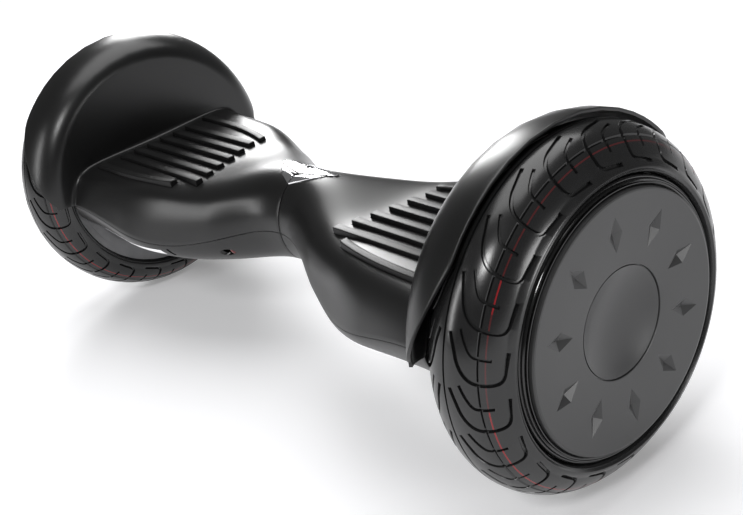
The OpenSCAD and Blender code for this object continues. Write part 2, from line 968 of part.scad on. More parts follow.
neck_trim();  // right_neck_trim
left() indicator();  // left_indicator
indicator();  // right_indicator
pivot_tube();
pivot_bushes();
pivot_circlip();
pivot_stop_pin();
battery_pack();
control_board();
power_button();
power_switch();
charge_socket();
charge_cap();
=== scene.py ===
import json
import math

import bmesh
import bpy
from mathutils import Matrix, Vector


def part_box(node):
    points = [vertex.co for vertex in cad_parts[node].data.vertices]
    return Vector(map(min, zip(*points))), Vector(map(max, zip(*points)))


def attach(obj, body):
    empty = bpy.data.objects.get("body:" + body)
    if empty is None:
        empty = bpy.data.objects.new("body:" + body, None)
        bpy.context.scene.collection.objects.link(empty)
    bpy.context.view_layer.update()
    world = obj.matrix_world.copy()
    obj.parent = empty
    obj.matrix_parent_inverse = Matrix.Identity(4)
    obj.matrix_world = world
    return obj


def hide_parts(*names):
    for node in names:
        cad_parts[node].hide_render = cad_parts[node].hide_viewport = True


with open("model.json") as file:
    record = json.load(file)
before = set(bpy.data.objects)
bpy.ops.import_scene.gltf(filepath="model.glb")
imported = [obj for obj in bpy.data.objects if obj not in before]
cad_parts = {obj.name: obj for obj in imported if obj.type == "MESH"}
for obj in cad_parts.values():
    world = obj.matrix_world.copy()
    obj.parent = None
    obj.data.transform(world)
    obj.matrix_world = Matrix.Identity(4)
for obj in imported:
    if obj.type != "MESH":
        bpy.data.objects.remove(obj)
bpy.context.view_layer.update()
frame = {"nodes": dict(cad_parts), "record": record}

# X runs along the axle, -Y is the front and Z is up, all in metres.
TYRE_LOW, TYRE_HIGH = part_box("right_tyre")
COVER_LOW, COVER_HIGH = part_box("right_hub_cover")
SHELL_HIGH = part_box("right_upper_shell")[1]
RING_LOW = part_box("right_cover_ring")[0]
PAD_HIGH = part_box("right_foot_pad")[1]
AXLE_Z = 0.127
WHEEL_X = (TYRE_LOW.x + TYRE_HIGH.x) / 2
TYRE_R = 0.1269
FINE_STEPS = 160
AXLE_HOLE_R = 0.0095
HALF_TURN = math.pi


# ---------------------------------------------------------------- sums

def smooth(t):
    t = min(max(t, 0), 1)
    return t * t * (3 - 2 * t)


def lerp(a, b, t):
    return a + (b - a) * t


def bezier(a, b, c, d, t):
    s = 1 - t
    return s**3 * a + 3 * s * s * t * b + 3 * s * t * t * c + t**3 * d


def halved(low, high, is_past):
    """The value between low and high where is_past turns true."""
    for _ in range(30):
        middle = (low + high) / 2
        if is_past(middle):
            high = middle
        else:
            low = middle
    return (low + high) / 2


def flowing(points, pieces):
    """A smooth line through points, with so many pieces between two of them."""
    ends = [points[0], *points, points[-1]]
    line = []
    for a, b, c, d in zip(ends, ends[1:], ends[2:], ends[3:]):
        for k in range(pieces):
            t = k / pieces
            line.append(tuple(
                0.5 * (2 * q + (r - p) * t + (2 * p - 5 * q + 4 * r - s) * t * t
                       + (3 * q - p - 3 * r + s) * t**3)
                for p, q, r, s in zip(a, b, c, d)))
    return line + [points[-1]]


# ---------------------------------------------------------------- mesh making

def grid(rows, columns, place):
    """A sheet of quads whose corners go where place says, for u and v from 0 to 1."""
    bm = bmesh.new()
    bmesh.ops.create_grid(bm, x_segments=rows, y_segments=columns, size=0.5)
    for v in bm.verts:
        v.co = place(v.co.x + 0.5, v.co.y + 0.5)
    return bm


def closed(bm):
    """Joins what touches, fills the open ends and turns the faces outwards."""
    bmesh.ops.remove_doubles(bm, verts=bm.verts, dist=1e-6)
    bmesh.ops.holes_fill(bm, edges=bm.edges, sides=0)
    bmesh.ops.recalc_face_normals(bm, faces=bm.faces)
    return bm


def sections(rings):
    """A closed skin through rings of points that follow each other."""
    rows, columns = len(rings) - 1, len(rings[0])
    return closed(grid(rows, columns, lambda u, v: rings[round(u * rows)][round(v * columns) % columns]))


def spun(profile, steps=128, is_open=False):
    """Turns an outline of (radius, x) points about the axle. An open one starts and ends on it."""
    bm = bmesh.new()
    dots = [bm.verts.new((x, 0, AXLE_Z + r)) for r, x in profile]
    lines = [bm.edges.new(pair) for pair in zip(dots, dots[1:])]
    if not is_open:
        lines.append(bm.edges.new((dots[-1], dots[0])))
    bmesh.ops.spin(bm, geom=dots + lines, cent=(0, 0, AXLE_Z), axis=(1, 0, 0),
                   angle=2 * HALF_TURN, steps=steps, use_merge=True)
    bmesh.ops.remove_doubles(bm, verts=bm.verts, dist=1e-6)
    bmesh.ops.recalc_face_normals(bm, faces=bm.faces)
    return bm


def drum(radius, start, end, sides=64):
    """A plain round cutter along X."""
    bm = bmesh.new()
    where = Matrix.Translation(((start + end) / 2, 0, AXLE_Z)) @ Matrix.Rotation(HALF_TURN / 2, 4, "Y")
    bmesh.ops.create_cone(bm, cap_ends=True, segments=sides, radius1=radius, radius2=radius,
                          depth=end - start, matrix=where)
    return bm


def prism(outline, axis, low, high):
    """An outline of point pairs, pulled out along Y or Z from low to high."""
    bm = bmesh.new()
    put = {"Y": lambda a, b: (a, low, b), "Z": lambda a, b: (a, b, low)}[axis]
    face = bm.faces.new([bm.verts.new(put(a, b)) for a, b in outline])
    pull = {"Y": (0, high - low, 0), "Z": (0, 0, high - low)}[axis]
    made = bmesh.ops.extrude_face_region(bm, geom=[face])["geom"]
    bmesh.ops.translate(bm, verts=[g for g in made if isinstance(g, bmesh.types.BMVert)], vec=pull)
    bmesh.ops.recalc_face_normals(bm, faces=bm.faces)
    return bm


def soften(bm, width, angle=50, segments=2, only=lambda edge: True):
    """Rounds the edges that turn by more than an angle."""
    edges = [e for e in bm.edges if e.is_manifold and only(e)
             and e.calc_face_angle() > math.radians(angle)]
    bmesh.ops.bevel(bm, geom=edges, offset=width, offset_type="OFFSET", affect="EDGES",
                    segments=segments, profile=0.5, clamp_overlap=True, material=-1)
    return bm


def together(*shapes):
    """Several separate shapes in one."""
    bm = bmesh.new()
    for shape in shapes:
        mesh = bpy.data.meshes.new("shape")
        shape.to_mesh(mesh)
        shape.free()
        bm.from_mesh(mesh)
        bpy.data.meshes.remove(mesh)
    return bm


def combined(bm, tool, operation):
    """Joins two closed shapes, or cuts the tool out of the first, or keeps what they share."""
    pair = []
    for shape in (bm, tool):
        mesh = bpy.data.meshes.new("shape")
        shape.to_mesh(mesh)
        shape.free()
        pair.append(bpy.data.objects.new("shape", mesh))
        bpy.context.scene.collection.objects.link(pair[-1])
    modifier = pair[0].modifiers.new("combined", "BOOLEAN")
    modifier.object, modifier.operation, modifier.solver = pair[1], operation, "MANIFOLD"
    evaluated = pair[0].evaluated_get(bpy.context.evaluated_depsgraph_get())
    result = bmesh.new()
    result.from_mesh(evaluated.to_mesh())
    if not result.faces:
        raise RuntimeError("a shape came out empty")
    for obj in pair:
        bpy.data.meshes.remove(obj.data)
    return result


def turned_over(bm):
    """The left-hand copy of a right-hand shape."""
    bmesh.ops.scale(bm, vec=(-1, 1, 1), verts=bm.verts)
    bmesh.ops.reverse_faces(bm, faces=bm.faces)
    return bm


def piece(name, bm, material, body, nodes, sharp=35):
    """Makes a finished piece that moves with a body and stands for CAD nodes."""
    for face in bm.faces:
        face.smooth = True
    for edge in bm.edges:
        edge.smooth = not edge.is_manifold or edge.calc_face_angle() < math.radians(sharp)
    mesh = bpy.data.meshes.new(name)
    bm.to_mesh(mesh)
    bm.free()
    mesh.materials.append(material)
    obj = bpy.data.objects.new(name, mesh)
    bpy.context.scene.collection.objects.link(obj)
    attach(obj, body)
    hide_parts(*nodes)
    return obj


def both_sides(part, build, material, body, nodes, sharp=35):
    """The same piece on the right and, turned over, on the left."""
    for side in ("right", "left"):
        bm = build()
        if side == "left":
            turned_over(bm)
        piece(f"{part}_{side}", bm, material, f"{side}_{body}",
              [f"{side}_{node}" for node in nodes], sharp)


# ---------------------------------------------------------------- body shape

NECK_DEPTH, DECK_DEPTH = 0.072, 0.204
NECK_TOP, DECK_TOP = 0.172, 0.161
NECK_LOW, BELLY_LOW = 0.091, 0.074
SEAM_NECK, SEAM_DIP, SEAM_WHEEL, SEAM_DIP_X = 0.131, 0.113, 0.133, 0.115
SHELL_T = 0.0025
SPLIT = 0.0003
WALL_X, WELL_X = 0.243, 0.2455
ROUND_PULL = 0.5523
AROUND = 40


def half_depth(x):
    swell = 0.11 * smooth((x - 0.015) / 0.06) + 0.67 * smooth(x / 0.17) + 0.22 * x / WELL_X
    return lerp(NECK_DEPTH, DECK_DEPTH, swell) / 2


def top(x):
    return lerp(NECK_TOP, DECK_TOP, smooth((x - 0.02) / 0.09))


def belly(x):
    return lerp(NECK_LOW, BELLY_LOW, smooth(x / 0.12))


def seam(x):
    if x < SEAM_DIP_X:
        return lerp(SEAM_NECK, SEAM_DIP, smooth(x / SEAM_DIP_X))
    return lerp(SEAM_DIP, SEAM_WHEEL, smooth((x - SEAM_DIP_X) / (WALL_X - SEAM_DIP_X)))


def upper_point(x, t, inset=0.0):
    """(y, z) on the upper skin, from the top at t = 0 to the seam at t = 1."""
    share = smooth(x / 0.15)
    h = half_depth(x) - inset
    rise = top(x) - inset - seam(x)
    y = bezier(0, h * lerp(ROUND_PULL, 0.83, share), h * lerp(1, 0.84, share), h, t)
    return y, seam(x) + bezier(rise, rise, rise * lerp(ROUND_PULL, 1.28, share), 0, t)


def lower_point(x, t, inset=0.0):
    """(y, z) on the lower skin, from the seam at t = 0 to the bottom at t = 1."""
    share = smooth(x / 0.15)
    h = half_depth(x) - inset
    start = seam(x) - SPLIT
    fall = start - belly(x) - inset
    y = bezier(h, h, h * lerp(ROUND_PULL, 0.33, share), 0, t)
    return y, start - bezier(0, fall * lerp(ROUND_PULL, 0.56, share), fall, fall, t)


def flank_y(x, z):
    """How far the lower skin stands out at a height."""
    return lower_point(x, halved(0, 1, lambda t: lower_point(x, t)[1] < z))[0]


def upper_ring(x, inset, drop):
    side = [upper_point(x, 1 - i / AROUND, inset) for i in range(AROUND + 1)]
    ring = [Vector((x, -y, z)) for y, z in side] + [Vector((x, y, z)) for y, z in side[-2::-1]]
    if drop:
        edge = half_depth(x) - inset
        ring += [Vector((x, edge, seam(x) - drop)), Vector((x, -edge, seam(x) - drop))]
    return ring


def lower_ring(x, inset, lift):
    side = [lower_point(x, i / AROUND, inset) for i in range(AROUND + 1)]
    ring = [Vector((x, y, z)) for y, z in side] + [Vector((x, -y, z)) for y, z in side[-2::-1]]
    if lift:
        edge = half_depth(x) - inset
        ring += [Vector((x, -edge, seam(x) + lift)), Vector((x, edge, seam(x) + lift))]
    return ring


def loft(ring, start, end, inset=0.0, past=0.0, rows=60):
    return sections([ring(lerp(start, end, i / rows), inset, past) for i in range(rows + 1)])


# ---------------------------------------------------------------- upper shell with its fender

FENDER_R, FENDER_X, FLAT_R = 0.1334, SHELL_HIGH.x, 0.109
BEND_R = 0.004
RIM_TOP, RIM_LOW, RIM_LOW_X = 0.215, 0.137, 0.246
BODY_ROWS, BEND_ROWS, WALL_ROWS, ARCH_ROWS = 60, 6, 4, 30


def rim_x(z):
    """How far out the fender's open rim is at a height."""
    return lerp(FENDER_X + 0.001, RIM_LOW_X, min(max((RIM_TOP - z) / (RIM_TOP - RIM_LOW), 0), 1) ** 1.25)


def arch(angle):
    """(radius, x) on the quarter ellipse from the flat wall to the rim."""
    return (FLAT_R + (FENDER_R - FLAT_R) * math.sin(angle),
            WALL_X + (FENDER_X - WALL_X) * (1 - math.cos(angle)))


def arch_end(lift):
    """The angle at which the arch meets the rim, on a spoke that rises by lift."""
    def is_past(angle):
        r, x = arch(angle)
        return x > rim_x(AXLE_Z + lift * r)
    return halved(0, HALF_TURN / 2, is_past)


def fender_place(u, v):
    """Runs along the deck, bends up its wall and out over the wheel to the rim."""
    row = round(u * (BODY_ROWS + BEND_ROWS + WALL_ROWS + ARCH_ROWS))
    side, t = math.copysign(1, v - 0.5), abs(2 * v - 1)
    if row <= BODY_ROWS:
        x = lerp(SPLIT, WALL_X - BEND_R, row / BODY_ROWS)
        y, z = upper_point(x, t)
        return Vector((x, side * y, z))
    y, z = upper_point(WALL_X - BEND_R, t)
    spoke = Vector((0, side * y, z - AXLE_Z))
    reach = spoke.length
    spoke.normalize()
    row -= BODY_ROWS
    if row <= BEND_ROWS:
        a = HALF_TURN / 2 * row / BEND_ROWS
        r, x = reach + BEND_R * (1 - math.cos(a)), WALL_X - BEND_R * (1 - math.sin(a))
    elif row <= BEND_ROWS + WALL_ROWS:
        r, x = lerp(reach + BEND_R, FLAT_R, (row - BEND_ROWS) / WALL_ROWS), WALL_X
    else:
        r, x = arch(arch_end(spoke.z) * (row - BEND_ROWS - WALL_ROWS) / ARCH_ROWS)
    return Vector((x, 0, AXLE_Z)) + spoke * r


RIB_COUNT, RIB_PITCH, RIB_HALF = 6, 0.0149, 0.0035
RIB_MID_Y, RIB_FIRST_X, RIB_STEP_X, RIB_END_X = -0.00745, 0.095, 0.0047, 0.228
ARC_FROM_X, ARC_TO_X, ARC_Y, ARC_BEND = 0.118, 0.232, 0.0605, 0.011
RIB_GAP = 0.0006


def bar(line, half_width, low, high):
    """A straight-sided rib along a line of (x, y) points."""
    there = [(x, y - half_width) for x, y in line]
    back = [(x, y + half_width) for x, y in reversed(line)]
    return prism(there + back, "Z", low, high)


def rib_bars(gap, low, high):
    """The pad's ribs, or with a gap the slots that they stand in."""
    bars = []
    for i in range(RIB_COUNT):
        y = RIB_MID_Y + RIB_PITCH * (i - (RIB_COUNT - 1) / 2)
        line = [(RIB_FIRST_X + RIB_STEP_X * i - gap, y), (RIB_END_X + gap, y)]
        bars.append(bar(line, RIB_HALF + gap, low, high))
    for side in (-1, 1):
        line = []
        for k in range(17):
            x = lerp(ARC_FROM_X - gap, ARC_TO_X + gap, k / 16)
            out = ARC_Y - ARC_BEND * ((ARC_TO_X - x) / (ARC_TO_X - ARC_FROM_X)) ** 3
            line.append((x, RIB_MID_Y + side * out))
        bars.append(bar(line, RIB_HALF + gap, low, high))
    return bars


def upper_shell():
    bm = grid(BODY_ROWS + BEND_ROWS + WALL_ROWS + ARCH_ROWS, 2 * AROUND, fender_place)
    bmesh.ops.recalc_face_normals(bm, faces=bm.faces)
    bmesh.ops.solidify(bm, geom=bm.faces[:], thickness=SHELL_T)
    soften(bm, 0.0006, angle=60)
    wall = drum(0.1, WALL_X + 0.0002, WELL_X + 0.0003, sides=128)
    bmesh.ops.bisect_plane(wall, geom=wall.verts[:] + wall.edges[:] + wall.faces[:],
                           plane_co=(0, 0, SEAM_WHEEL + 0.0005), plane_no=(0, 0, 1), clear_inner=True)
    bm = combined(bm, closed(wall), "UNION")
    cuts = rib_bars(RIB_GAP, DECK_TOP - 0.02, DECK_TOP + 0.01) + [drum(AXLE_HOLE_R, 0.24, 0.25)]
    return combined(bm, together(*cuts), "DIFFERENCE")


# ---------------------------------------------------------------- lower shell and what is in it

SCREW_HOLE_R, SCREW_WELL_R, SCREW_BOSS_R = 0.0022, 0.0043, 0.006
SCREW_XY = [(0.124, -0.022), (0.124, 0.022), (0.198, -0.022), (0.198, 0.022)]
TRAY_Z, SCREW_SEAT = 0.084, 0.0795
BAND = [(0.122, 0.1015), (0.214, 0.1088), (0.214, 0.1105), (0.124, 0.107)]


def rod(x, y, low, high, radius, sides=40):
    bm = bmesh.new()
    bmesh.ops.create_cone(bm, cap_ends=True, segments=sides, radius1=radius, radius2=radius,
                          depth=high - low, matrix=Matrix.Translation((x, y, (low + high) / 2)))
    return bm


def band_outline(grow):
    (x0, z0), (x1, z1), (x2, z2), (x3, z3) = BAND
    return [(x0 - grow, z0 - grow), (x1 + grow, z1 - grow), (x2 + grow, z2 + grow), (x3 - grow, z3 + grow)]


SIDE_SLOT = [(0.1118, 0.1015), (0.1145, 0.1008), (0.1172, 0.1087), (0.1148, 0.1094)]


def side_slot():
    """Small leaning slot ahead of the light bar."""
    return prism(SIDE_SLOT, "Y", -0.12, -0.05)


def lower_shell():
    bm = soften(loft(lower_ring, SPLIT, WALL_X), 0.0006, angle=60)
    bm = combined(bm, loft(lower_ring, -0.005, WALL_X - SHELL_T, SHELL_T, 0.005), "DIFFERENCE")
    bosses = [rod(x, y, SCREW_SEAT - 0.0012, TRAY_Z, SCREW_BOSS_R) for x, y in SCREW_XY]
    bm = combined(bm, together(*bosses), "UNION")
    wells = [rod(x, y, BELLY_LOW - 0.005, SCREW_SEAT, SCREW_WELL_R) for x, y in SCREW_XY]
    bm = combined(bm, together(*wells), "DIFFERENCE")
    cuts = [rod(x, y, BELLY_LOW, TRAY_Z + 0.005, SCREW_HOLE_R) for x, y in SCREW_XY]
    cuts += [drum(AXLE_HOLE_R, 0.23, 0.25), prism(band_outline(0.0002), "Y", -0.12, -0.05), side_slot()]
    return combined(bm, together(*cuts), "DIFFERENCE")


SOCKET_PLACE = Matrix.Translation((-0.150, 0.0889, 0.104)) @ Matrix.Rotation(math.radians(-133), 4, "X")
FLANGE_R, SOCKET_R, SOCKET_FLOOR = 0.009, 0.0075, 0.003


def socket_rod(radius, deep, shallow):
    """A round rod square to the back flank, between two depths below the skin."""
    bm = rod(0, 0, -deep, -shallow, radius, 64)
    bmesh.ops.transform(bm, matrix=SOCKET_PLACE, verts=bm.verts)
    return bm


def left_lower_shell():
    """The left lower shell also holds the power button and the charging socket."""
    bm = turned_over(lower_shell())
    bm = combined(bm, socket_rod(FLANGE_R + 0.0015, 0.0065, SOCKET_FLOOR - 0.0002), "UNION")
    hole = rod(0, 0, -0.02, 0.01, BUTTON_HOLE_R, 64)
    bmesh.ops.transform(hole, matrix=BUTTON_PLACE, verts=hole.verts)
    bm = combined(bm, together(socket_rod(FLANGE_R + 0.0003, SOCKET_FLOOR, -0.01), hole), "DIFFERENCE")
    return combined(bm, socket_rod(SOCKET_R, 0.02, 0.002), "DIFFERENCE")


def light_bar():
    """Milky lens that follows the flank."""
    (x0, z0), (x1, z1), (x2, z2), (x3, z3) = BAND

    def place(u, v):
        x = lerp(lerp(x0, x3, v), lerp(x1, x2, v), u)
        z = lerp(lerp(z0, z3, v), lerp(z1, z2, v), u)
        return Vector((x, -flank_y(x, z) - 0.0002, z))

    bm = grid(60, 6, place)
    bmesh.ops.recalc_face_normals(bm, faces=bm.faces)
    if sum(f.normal.y for f in bm.faces) > 0:
        bmesh.ops.reverse_faces(bm, faces=bm.faces)
    bmesh.ops.solidify(bm, geom=bm.faces[:], thickness=0.0022)
    return soften(bm, 0.0003, angle=60)


BUTTON_HOLE_R = 0.0048
BUTTON_PLACE = (Matrix.Translation((-0.061, -0.0505, 0.107)) @ Matrix.Rotation(math.radians(-23), 4, "Z")
                @ Matrix.Rotation(math.radians(113), 4, "X"))


def power_button():
    """Domed red key with a fine step round it."""
    outline = [(0, 0.0015), (0.0014, 0.00146), (0.0026, 0.00128), (0.0033, 0.0010), (0.0036, 0.0006),
               (0.0041, 0.0006), (0.0045, 0.0002), (0.0045, -0.007), (0, -0.007)]
    bm = spun([(r, x) for r, x in outline], steps=48, is_open=True)
    upright = Matrix.Rotation(-HALF_TURN / 2, 4, "Y") @ Matrix.Translation((0, 0, -AXLE_Z))
    bmesh.ops.transform(bm, matrix=BUTTON_PLACE @ upright, verts=bm.verts)
    return bm


# ---------------------------------------------------------------- foot pad

PAD_TOP, PAD_T, PAD_MARGIN = 0.150, 0.003, 0.019


def foot_pad():
    """Tall glossy ribs on a plate."""
    xs = [lerp(0.091, 0.237, i / 12) for i in range(13)]
    front = [(x, -(half_depth(x) - PAD_MARGIN)) for x in xs]
    back = [(x, half_depth(x) - PAD_MARGIN + RIB_MID_Y) for x in reversed(xs)]
    plate = prism(front + back, "Z", PAD_TOP - PAD_T, PAD_TOP)
    ribs = [soften(rib, 0.0009, segments=3, only=lambda e: min(v.co.z for v in e.verts) > PAD_TOP)
            for rib in rib_bars(0, PAD_TOP - 0.001, PAD_HIGH.z)]
    return combined(plate, together(*ribs), "UNION")


# ---------------------------------------------------------------- wheel

SEAT_R, LIP_R, BEAD_HALF = 0.090, 0.096, 0.023
CROWN_DROP, CROWN_END, CROWN_STEPS = 0.037, math.radians(66), 26
HALF_TYRE = (TYRE_HIGH.x - TYRE_LOW.x) / 2
PITCHES = 22
RING_GROOVES = [-0.0206, 0.0, 0.0206]
RING_GROOVE_HALF, RING_GROOVE_DEPTH, GROOVE_CLEAR = 0.0007, 0.0017, 0.0004
MAIN_GROOVE = [(14.5, 4.2), (10.2, 7.2), (6.2, 9.6), (3.0, 12.9), (0.9, 17.0), (-0.1, 21.6), (-0.5, 25.9),
               (-0.2, 28.9), (1.2, 30.2), (4.0, 30.6), (10.0, 31.0)]
SHORT_GROOVE = [(7.6, 10.6), (3.9, 13.7), (0.7, 17.2), (-0.3, 21.2), (-0.8, 26.4)]
GROOVE_TURN = 8.2
# Line, width, depth and the turn at which each tread groove starts.
TREAD_GROOVES = [(MAIN_GROOVE, 0.0022, 0.0021, 0), (SHORT_GROOVE, 0.0018, 0.0018, GROOVE_TURN)]


def tyre_skin(across):
    """(radius, x offset) on the tyre's crown at an angle round its section."""
    return TYRE_R - CROWN_DROP * (1 - math.cos(across)), HALF_TYRE * math.sin(across)


def tread_point(turn, offset, depth=0.0):
    """A point on or under the tread: turn in degrees round the wheel, offset in metres."""
    across = math.asin(offset / HALF_TYRE)
    r, dx = tyre_skin(across)
    outward = Vector((CROWN_DROP * math.sin(across), HALF_TYRE * math.cos(across))).normalized()
    r, dx = r - depth * outward.y, dx - depth * outward.x
    a = math.radians(turn)
    return Vector((WHEEL_X + dx, r * math.sin(a), AXLE_Z + r * math.cos(a)))


def groove(line, width, depth):
    """A cutter that follows a line of (turn, offset) points and narrows with depth."""
    rings = []
    for i, (turn, offset) in enumerate(line):
        before, after = line[max(i - 1, 0)], line[min(i + 1, len(line) - 1)]
        here = tread_point(turn, offset)
        along = (tread_point(*after) - tread_point(*before)).normalized()
        up = (here - tread_point(turn, offset, 0.001)).normalized()
        side = along.cross(up).normalized() * width / 2
        rings.append([here + up * 0.001 - side * 1.5, here + up * 0.001 + side * 1.5,
                      here - up * depth + side * 0.6, here - up * depth - side * 0.6])
    return sections(rings)


def tread_cuts():
    """One pitch of grooves on both shoulders, repeated round the wheel."""
    cuts = []
    for shape, width, depth, start in TREAD_GROOVES:
        for side in (1, -1):
            line = [(start + turn, side * offset / 1000) for turn, offset in flowing(shape, 4)]
            cuts.append(groove(line, width, depth))
    bm = together(*cuts)
    bmesh.ops.spin(bm, geom=bm.verts[:] + bm.edges[:] + bm.faces[:], cent=(0, 0, AXLE_Z), axis=(1, 0, 0),
                   angle=2 * HALF_TURN * (PITCHES - 1) / PITCHES, steps=PITCHES - 1, use_duplicate=True)
    bmesh.ops.recalc_face_normals(bm, faces=bm.faces)
    return bm


def ring_groove(offset):
    """Notch points of a groove that runs right round, in the order of the tyre's outline."""
    half, depth = RING_GROOVE_HALF, RING_GROOVE_DEPTH
    points = []
    for dx, down in ((-half, 0), (-half * 0.5, depth), (half * 0.5, depth), (half, 0)):
        r, x = tyre_skin(math.asin((offset + dx) / HALF_TYRE))
        points.append((r - down, WHEEL_X + x))
    return points


def tyre():
    """Inflated tyre with three grooves right round and the patterned ones across."""
    crown = []
    for i in range(-CROWN_STEPS, CROWN_STEPS + 1):
        r, x = tyre_skin(CROWN_END * i / CROWN_STEPS)
        if all(abs(x - offset) > RING_GROOVE_HALF + GROOVE_CLEAR for offset in RING_GROOVES):
            crown.append((x, [(r, WHEEL_X + x)]))
    crown += [(offset, ring_groove(offset)) for offset in RING_GROOVES]
    crown = [point for _, points in sorted(crown) for point in points]
    bead = [(0.1020, 0.0338), (0.1004, 0.0341), (0.0996, 0.0335), (0.0988, 0.0328), (0.0982, 0.0330),
            (0.0975, 0.0318), (0.0966, 0.0300), (LIP_R + 0.0003, 0.026), (LIP_R + 0.0003, BEAD_HALF),
            (SEAT_R, BEAD_HALF), (SEAT_R, 0.015)]
    inner = [(0.0975, 0.0140), (0.0985, 0.019)]
    inner += [(0.106 - 0.013 * math.cos(a), 0.026 * math.sin(a)) for a in
              [HALF_TURN * (0.32 + 0.68 * k / 14) for k in range(14)]]
    right = [(r, WHEEL_X + x) for r, x in bead + inner]
    left = [(r, WHEEL_X - x) for r, x in reversed(bead + inner)]
    outline = left[len(inner):] + crown + right + [(0.119, WHEEL_X)] + left[:len(inner)]
    bm = spun(outline, steps=12 * PITCHES)
    return combined(bm, tread_cuts(), "DIFFERENCE")


COVER_R, BOWL_R, BOWL_DEPTH, COVER_FALL, COVER_T = 0.0895, 0.039, 0.0088, 0.004, 0.002
BACKING_X = COVER_HIGH.x - 0.0072
DIMPLES, DIMPLE_AT, DIMPLE_L, DIMPLE_W = 10, 0.0636, 0.013, 0.0063
DIMPLE_DEPTH, DIMPLE_OVER = 0.0032, 0.0006


def cover_x(r):
    return COVER_HIGH.x - COVER_FALL * (COVER_R - r) / (COVER_R - BOWL_R)


def bowl(drop):
    """The middle bowl's curve, from its centre to its edge."""
    return [(BOWL_R * i / 16, cover_x(BOWL_R) - BOWL_DEPTH * (1 - (i / 16) ** 2) - drop) for i in range(17)]


def dimple_cuts():
    """Four-sided points that sink into the cover, long way outwards."""
    bm = bmesh.new()
    depth = DIMPLE_DEPTH + DIMPLE_OVER
    lean = math.atan2(COVER_FALL, COVER_R - BOWL_R)
    for i in range(DIMPLES):
        where = (Matrix.Translation((0, 0, AXLE_Z)) @ Matrix.Rotation(2 * HALF_TURN * i / DIMPLES, 4, "X")
                 @ Matrix.Translation((cover_x(DIMPLE_AT), 0, DIMPLE_AT))
                 @ Matrix.Rotation(HALF_TURN / 2 + lean, 4, "Y")
                 @ Matrix.Translation((0, 0, DIMPLE_OVER - depth / 2))
                 @ Matrix.Diagonal((1, DIMPLE_W / DIMPLE_L, 1, 1)))
        bmesh.ops.create_cone(bm, cap_ends=True, segments=4, radius1=0,
                              radius2=DIMPLE_L * depth / DIMPLE_DEPTH, depth=depth, matrix=where)
    bmesh.ops.remove_doubles(bm, verts=bm.verts, dist=1e-6)
    bmesh.ops.recalc_face_normals(bm, faces=bm.faces)
    return bm


def hub_cover():
    """Satin dish with a bowl in the middle and a ring of dimples."""
    edge_x = cover_x(BOWL_R)
    front = bowl(0)[:-1] + [
        (BOWL_R - 0.0011, edge_x - 0.0006), (BOWL_R - 0.0008, edge_x - 0.0015),
        (BOWL_R - 0.0003, edge_x - 0.0015), (BOWL_R, edge_x - 0.0002), (BOWL_R + 0.0004, edge_x)]
    front += [(lerp(BOWL_R, COVER_R - 0.002, k / 12), cover_x(lerp(BOWL_R, COVER_R - 0.002, k / 12)))
              for k in range(1, 13)]
    edge = [(COVER_R - 0.0009, COVER_HIGH.x - 0.0004), (COVER_R - 0.0002, COVER_HIGH.x - 0.0012),
            (COVER_R, COVER_HIGH.x - 0.0022), (COVER_R, COVER_LOW.x), (COVER_R - COVER_T, COVER_LOW.x),
            (COVER_R - COVER_T, COVER_HIGH.x - COVER_T - 0.0002), (COVER_R - 0.01, BACKING_X),
            (BOWL_R + 0.008, BACKING_X)]
    bm = spun(front + edge + bowl(COVER_T)[::-1], steps=FINE_STEPS, is_open=True)
    return combined(bm, dimple_cuts(), "DIFFERENCE")


def cover_ring():
    """Polished ring with two fine steps between the cover and the tyre."""
    x0 = RING_LOW.x
    outline = [(COVER_R + 0.0003, x0), (LIP_R, x0), (LIP_R, x0 + 0.004), (LIP_R - 0.0004, x0 + 0.0052),
               (LIP_R - 0.0012, x0 + 0.0058), (LIP_R - 0.0018, x0 + 0.0058), (LIP_R - 0.0022, x0 + 0.0072),
               (LIP_R - 0.0028, x0 + 0.0078), (LIP_R - 0.0034, x0 + 0.0076), (LIP_R - 0.0037, x0 + 0.0068),
               (LIP_R - 0.0041, x0 + 0.0068), (LIP_R - 0.0044, x0 + 0.0084), (LIP_R - 0.0050, x0 + 0.0085),
               (COVER_R + 0.0006, x0 + 0.0080), (COVER_R + 0.0003, x0 + 0.0072)]
    return spun(outline, steps=FINE_STEPS)


# ---------------------------------------------------------------- neck trim

BLADE = [(0.6, -17), (12, -12.2), (22, -6), (27, -1.5), (18.6, -3.8), (10, -6.6), (0.6, -9.5)]
PLATE = [(0.6, -5), (20, -0.5), (34, 5), (37, 9), (34, 11), (16, 9.5), (0.6, 6)]
LENS = [(0.6, -9.3), (10, -6.4), (18.6, -3.6), (27, -1.3), (30, 3), (20, -0.7), (0.6, -5.2)]


def on_neck(outline, thickness, flip=1):
    """A thin plate of an outline, in millimetres, that lies on the neck."""
    flat = [(x / 1000, flip * (y if flip > 0 else y - 1) / 1000) for x, y in outline]
    shape = prism(flat, "Z", 0.15, 0.19)
    shape = combined(shape, loft(upper_ring, SPLIT, 0.05, -thickness, 0.0, 24), "INTERSECT")
    return combined(shape, loft(upper_ring, -0.001, 0.051, 0.0001, 0.02, 24), "DIFFERENCE")


def neck_trim():
    parts = [on_neck(BLADE, 0.001), on_neck(PLATE, 0.001), on_neck(BLADE, 0.001, -1)]
    return soften(together(*parts), 0.0003, angle=60)


def indicator():
    return soften(on_neck(LENS, 0.0005), 0.0002, angle=60)


# ---------------------------------------------------------------- finishes

